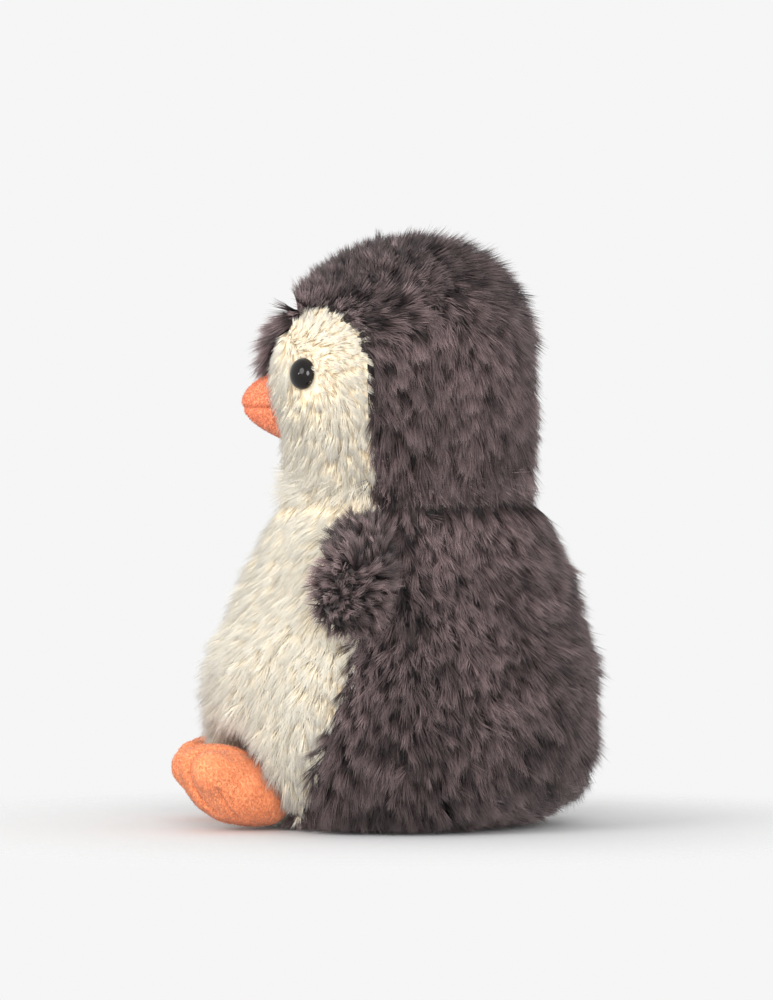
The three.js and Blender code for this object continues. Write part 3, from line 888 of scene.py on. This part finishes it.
def build_body(feet):
    skin = body_skin()
    rng = np.random.default_rng(11)
    roots, facing = scatter(skin, spacing=2.45 * MM, rng=rng)
    foot_trees = [tree_of(foot.data) for foot in feet.values()]
    keep = clear_of(roots, foot_trees, margin=2.0 * MM)
    keep &= facing[:, 2] < 0.75
    roots, facing = roots[keep], facing[keep]
    x, y, z = millimetres(roots)
    over_heel = z - HEEL_LINE[0] - HEEL_LINE[1] * np.maximum(HEEL_END - y, 0)
    free = room(roots, facing, comb_belly(roots), length=13 * MM, trees=foot_trees, margin=2 * MM)
    beside_heel = (np.abs(x) > HEEL_OUTSIDE) & (y < HEEL_END) & (over_heel < 9)
    free[beside_heel] *= smoothstep(-1, 9, over_heel[beside_heel])
    keep = free > 0.15
    roots, facing, free = roots[keep], facing[keep], free[keep]
    panels = ["belly_panel", "back_panel_left", "back_panel_right", "base_panel"]
    grey_side = cad_tree(*panels[1:3])
    part = nearest_of([cad_tree(node) for node in panels], roots)
    dense = dict(per_lock=22, width=0.46 * MM, spread=0.85 * MM)
    bodies = ("body", "neck")
    for which, node in enumerate(panels):
        mine = part == which
        points, outward = roots[mine], facing[mine]
        z = points[:, 2] / MM
        shoulder = smoothstep(0.25, 0.65, outward[:, 2])
        droop = (0.1 * smoothstep(95, 112, z) + 0.5 * shoulder)[:, None]
        whose = dict(seed=20 + which, body=bodies, nodes=[node], blend=BODY_BEND)
        if node == "belly_panel":
            short = free[mine] * seam_trim(grey_side, points)
            cover(
                "belly_pile", points, outward, comb_belly(points), slot="cream_plush", material=cream_pile,
                length=LONG_PILE * MM * short, lift=np.radians(39 - 18 * shoulder), settle=0.15, jitter=0.14,
                clump=0.4, droop=droop, **whose, **dense,
            )
        elif node == "base_panel":
            cover(
                "base_pile", points, outward, comb_under(points), slot="grey_plush", material=grey_pile,
                length=9 * MM, lift=np.radians(25), settle=0.0, per_lock=8, width=0.6 * MM, spread=1.05 * MM,
                **whose,
            )
        else:
            hem = (1 - smoothstep(4, 24, z)) * smoothstep(10, 40, points[:, 1] / MM)
            # the locks lighten towards the top of the back: painted light against the shade under the head
            cover(
                node.replace("panel", "pile"), points, outward, comb_back(points), slot="grey_plush",
                material=grey_pile, length=(LONG_PILE - 4.5 * hem) * MM, lift=np.radians(38 - 10 * shoulder),
                settle=0.2, clump=0.82, droop=droop, shade=0.25 * smoothstep(98, 112, z), **whose, **dense,
            )
    finish_piece(skin, backing, bodies, ["body_stuffing"], BODY_BEND)
    paint_cream(skin, panels, panels[:1])


BEAK_MIDDLE = 0.164  # the height of the middle of the beak's base
BEAK_BASE = (11 * MM, 13 * MM)  # half of its width and half of its height


def build_head():
    skin = head_skin()
    rng = np.random.default_rng(31)
    roots, facing = scatter(skin, spacing=2.35 * MM, rng=rng)
    beak = cad_tree("beak_upper", "beak_lower", "beak_stuffing")
    eyes = [cad_tree("eye_left"), cad_tree("eye_right")]
    keep = facing[:, 2] > -0.75
    under_beak = roots[:, 1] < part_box("beak_upper")[1].y
    under_beak &= np.abs(roots[:, 0]) < BEAK_BASE[0]
    under_beak &= np.abs(roots[:, 2] - BEAK_MIDDLE) < BEAK_BASE[1]
    keep &= ~under_beak
    gaps = [np.abs(distance(tree, roots)) for tree in (beak, *eyes)]
    for gap in gaps[1:]:
        keep &= gap > 0.6 * MM
    roots, facing = roots[keep], facing[keep]
    near = np.min(gaps, axis=0)[keep] / MM
    panels = HEAD_NODES[:5]
    grey_side = cad_tree(*panels[2:])
    part = nearest_of([cad_tree(node) for node in panels], roots)
    bodies = ("neck", "head")
    dense = dict(per_lock=22, width=0.44 * MM, spread=0.85 * MM)
    for which, node in enumerate(panels):
        mine = part == which
        points, outward = roots[mine], facing[mine]
        _, y, z = millimetres(points)
        short = 0.6 + 0.4 * smoothstep(1.5, 7, near[mine])
        whose = dict(seed=40 + which, body=bodies, nodes=[node], blend=HEAD_BEND)
        if node.startswith("face"):
            short = short * seam_trim(grey_side, points)
            cover(
                node.replace("panel", "pile"), points, outward, comb_face(points), slot="cream_plush",
                material=cream_pile, length=(13.5 - 3 * smoothstep(150, 180, z)) * MM * short,
                lift=np.radians(38 - 6 * smoothstep(146, 166, z) - 8 * smoothstep(168, 186, z)), settle=0.1,
                jitter=0.14, curl=0.14, clump=0.35, **whose, **dense,
            )
        else:
            nape = 1 - smoothstep(132, 150, z)
            front = 1 - smoothstep(-42, -30, y)
            ruffled = smoothstep(196, 208, z) * (1 - smoothstep(4, 26, y))
            label = node.replace("panel", "pile").replace("gusset", "pile")
            # locks a little lighter below 190 mm, and darker over the crown's top: painted shade
            cover(
                label, points, outward, comb_head(points), slot="grey_plush", material=grey_pile,
                length=(LONG_PILE + 5 * nape + 2 * front - 4.5 * ruffled) * MM * short,
                lift=np.radians(29 + 14 * smoothstep(188, 210, z) + 26 * ruffled), settle=0.2 + 0.4 * ruffled,
                jitter=0.14 + 0.4 * ruffled, curl=0.14 + 0.3 * ruffled,
                shade=0.12 - 0.42 * smoothstep(190, 210, z), clump=0.82, **whose, **dense,
            )
    finish_piece(skin, backing, bodies, ["head_stuffing"], HEAD_BEND)
    paint_cream(skin, panels, panels[:2])


def build_neck():
    skin = neck_skin()
    rng = np.random.default_rng(51)
    roots, facing = scatter(skin, spacing=2.0 * MM, rng=rng)
    keep = np.abs(facing[:, 2]) < 0.7
    roots, facing = roots[keep], facing[keep]
    cream = roots[:, 1] < NECK[1] - 12.5 * MM
    comb = np.tile([0.0, 0.0, -1.0], (len(roots), 1))
    # the grey pile at the back is made lighter: painted light in the neck's shaded groove
    for mine, label, slot, material, shade in (
        (cream, "neck_front_pile", "cream_plush", cream_pile, 0.0),
        (~cream, "neck_back_pile", "grey_plush", grey_pile, 0.25),
    ):
        cover(
            label, roots[mine], facing[mine], comb[mine], seed=52, slot=slot, material=material,
            body=("neck", "head"), nodes=[], blend=HEAD_BEND, length=14 * MM, lift=np.radians(56), settle=0.4,
            per_lock=12, width=0.46 * MM, spread=0.95 * MM, shade=shade,
        )
    finish_piece(skin, backing, ("neck", "head"), ["neck_stuffing"], HEAD_BEND)


def build_beak():
    nodes = ["beak_upper", "beak_lower", "beak_stuffing"]
    obj = rough_form("beak", nodes, voxel=1.5 * MM)
    relax(obj, times=3)
    inset(obj, 0.8 * MM)
    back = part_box("beak_lower")[1].y
    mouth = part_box("beak_lower")[1].z + 0.15 * MM
    co = coordinates(obj.data)
    stuff(obj, pressure=4, cap=1 * MM, held=np.flatnonzero(co[:, 1] > back - 1.5 * MM))
    subdivide(obj, levels=2)
    co = coordinates(obj.data)
    depth = 0.9 * np.exp(-(((co[:, 2] - mouth) / (0.9 * MM)) ** 2))
    set_coordinates(obj.data, co - normals(obj.data) * depth[:, None] * MM)
    finish_piece(obj, orange_beak, "head", nodes)
    nap(obj, "beak_nap", beak_nap, "head", seed=91)
    finish_piece(mouth_stitches(obj, mouth, back), thread, "head")


STITCHES = 23
FIRST_STITCH = -84  # degrees round the beak from straight ahead
STITCH_PITCH = 7.5
STITCH_TURN = 4.6


def mouth_stitches(beak, height, back):
    """A row of stitches round the beak, sunk in the seam between its two halves."""
    tree = tree_of(beak.data)
    middle = Vector((0, back - 2 * MM, height))
    made = bmesh.new()
    for i in range(STITCHES):
        ends = []
        begins = FIRST_STITCH + STITCH_PITCH * i
        for angle in (begins, begins + STITCH_TURN):
            out = Vector((math.sin(math.radians(angle)), -math.cos(math.radians(angle)), 0))
            hit, normal, _, _ = tree.ray_cast(middle + out * 60 * MM, -out)
            if hit:
                ends.append(hit + normal * 0.25 * MM)
        if len(ends) < 2:
            continue
        run = ends[1] - ends[0]
        stitch = bmesh.ops.create_uvsphere(made, u_segments=8, v_segments=6, radius=1)["verts"]
        turn = Vector((0, 0, 1)).rotation_difference(run).to_matrix().to_4x4()
        size = Matrix.Diagonal((0.42 * MM, 0.42 * MM, run.length / 2 + 0.2 * MM, 1))
        place = Matrix.Translation((ends[0] + ends[1]) / 2)
        bmesh.ops.transform(made, verts=stitch, matrix=place @ turn @ size)
    mesh = bpy.data.meshes.new("mouth_stitches")
    made.to_mesh(mesh)
    made.free()
    obj = link(bpy.data.objects.new("mouth_stitches", mesh))
    shade_smooth(obj)
    return obj


EYE_RADIUS = 6.1 * MM
EYE_HEIGHT = 4.3 * MM  # of the dome over its rim
EYE_PROUD = 0.2 * MM  # how far the dome's top stands out past the CAD eye's
EYE_BACK = ((-0.8, 0.97), (-1.3, 0.8))  # behind the rim: depth in millimetres, and share of the radius


def dome_mesh(name):
    """A dome over the origin, with a narrowing back that closes it."""
    rings, around = 14, 56
    turns = [2 * math.pi * i / around for i in range(around)]
    verts = [(0, 0, EYE_HEIGHT)]
    for k in range(1, rings + 1):
        angle = math.pi / 2 * k / rings
        wide, high = EYE_RADIUS * math.sin(angle), EYE_HEIGHT * math.cos(angle)
        verts += [(wide * math.cos(turn), wide * math.sin(turn), high) for turn in turns]
    for depth, share in EYE_BACK:
        wide = EYE_RADIUS * share
        verts += [(wide * math.cos(turn), wide * math.sin(turn), depth * MM) for turn in turns]
    verts.append((0, 0, EYE_BACK[-1][0] * MM))
    faces = [(0, 1 + i, 1 + (i + 1) % around) for i in range(around)]
    for k in range(rings + 1):
        a, b = 1 + k * around, 1 + (k + 1) * around
        faces += [(a + i, b + i, b + (i + 1) % around, a + (i + 1) % around) for i in range(around)]
    last = 1 + (rings + 1) * around
    faces += [(last + i, len(verts) - 1, last + (i + 1) % around) for i in range(around)]
    mesh = bpy.data.meshes.new(name)
    mesh.from_pydata(verts, [], faces)
    return mesh


def build_eyes():
    """A domed black eye over each CAD eye, turned to face as it does."""
    for side in SIDES:
        node = f"eye_{side}"
        co = coordinates(frame["nodes"][node].data)
        washer = coordinates(frame["nodes"][f"eye_washer_{side}"].data).mean(axis=0)
        axis = Vector(co.mean(axis=0) - washer).normalized()
        front = washer + np.array(axis) * ((co - washer) @ np.array(axis)).max()
        mesh = dome_mesh(f"eye_dome_{side}")
        obj = link(bpy.data.objects.new(f"eye_dome_{side}", mesh))
        turn = Vector((0, 0, 1)).rotation_difference(axis).to_matrix().to_4x4()
        place = Vector(front) - axis * (EYE_HEIGHT - EYE_PROUD)
        mesh.transform(Matrix.Translation(place) @ turn)
        shade_smooth(obj)
        finish_piece(obj, eye_black, "head", [node])


def build_hidden():
    """What is inside stays as the CAD has it."""
    for node in ("pouch_top", "pouch_bottom"):
        keep_node(node, pouch_cloth)
    keep_node("pouch_pellets", pellet_plastic)
    for side in SIDES:
        keep_node(f"eye_washer_{side}", washer_plastic)


# ---------------------------------------------------------------- stage
FLOOR_COLOUR = (0.74, 0.74, 0.74, 1)
STUDIO_WHITE = 0.92


def add_light(name, place, aim, size, power):
    """A round lamp at a place, turned to face another."""
    light = bpy.data.lights.new(name, "AREA")
    light.shape = "DISK"
    light.size = size
    light.energy = power
    obj = link(bpy.data.objects.new(name, light))
    obj.location = place
    obj.rotation_euler = (Vector(aim) - Vector(place)).to_track_quat("-Z", "Y").to_euler()


def build_stage():
    """A pale floor that fades into the studio's white further off, lit softly from all round."""
    half = 0.4
    corners = [(-half, -half, 0), (half, -half, 0), (half, half, 0), (-half, half, 0)]
    mesh = bpy.data.meshes.new("floor")
    mesh.from_pydata(corners, [], [(0, 1, 2, 3)])
    floor = link(bpy.data.objects.new("floor", mesh))
    surface = Surface("Floor", 0.95, Specular_IOR_Level=0.1)
    surface.shader.inputs["Base Color"].default_value = FLOOR_COLOUR
    away = surface.node("VectorMath", operation="LENGTH")
    surface.link(surface.position(), away.inputs[0])
    fade = surface.node("MapRange", interpolation_type="SMOOTHSTEP")
    for socket, value in (("From Min", 0.1), ("From Max", 0.24), ("To Min", 1.0), ("To Max", 0.0)):
        fade.inputs[socket].default_value = value
    surface.link(away.outputs["Value"], fade.inputs["Value"])
    surface.link(fade.outputs["Result"], surface.shader.inputs["Alpha"])
    mesh.materials.append(surface.material)

    world = bpy.data.worlds.new("Studio")
    world.use_nodes = True
    world.node_tree.nodes["Background"].inputs["Color"].default_value = (1, 1, 1, 1)
    world.node_tree.nodes["Background"].inputs["Strength"].default_value = STUDIO_WHITE
    bpy.context.scene.world = world

    add_light("Key", (1.3, -1.4, 0.8), (0, 0, 0.12), size=1.1, power=16)
    add_light("Front", (1.9, 0.2, 0.4), (0, 0, 0.12), size=1.0, power=27)
    add_light("Catchlight", (0.6, -1.4, 0.3), (0, 0, 0.16), size=0.09, power=2.5)


def build_camera():
    """Level with the toy's middle, at its left, through a long lens."""
    camera = bpy.data.cameras.new("Camera")
    camera.sensor_width = 36
    camera.lens = 180
    view_height = 388 * MM
    away = view_height * camera.lens / camera.sensor_width
    obj = link(bpy.data.objects.new("Camera", camera))
    aim = Vector((0, 2.17 * MM, 126 * MM))
    azimuth, elevation = math.radians(90), math.radians(0.5)
    level = math.cos(elevation)
    out = Vector((math.sin(azimuth) * level, -math.cos(azimuth) * level, math.sin(elevation)))
    obj.location = aim + out * away
    obj.rotation_euler = (-out).to_track_quat("-Z", "Y").to_euler()
    camera.clip_end = 20
    bpy.context.scene.camera = obj


bpy.context.scene.view_settings.view_transform = "Standard"
build_camera()
build_stage()
feet = build_feet()
build_body(feet)
build_neck()
build_head()
build_wings(rng_seed=61)
build_beak()
build_eyes()
build_hidden()
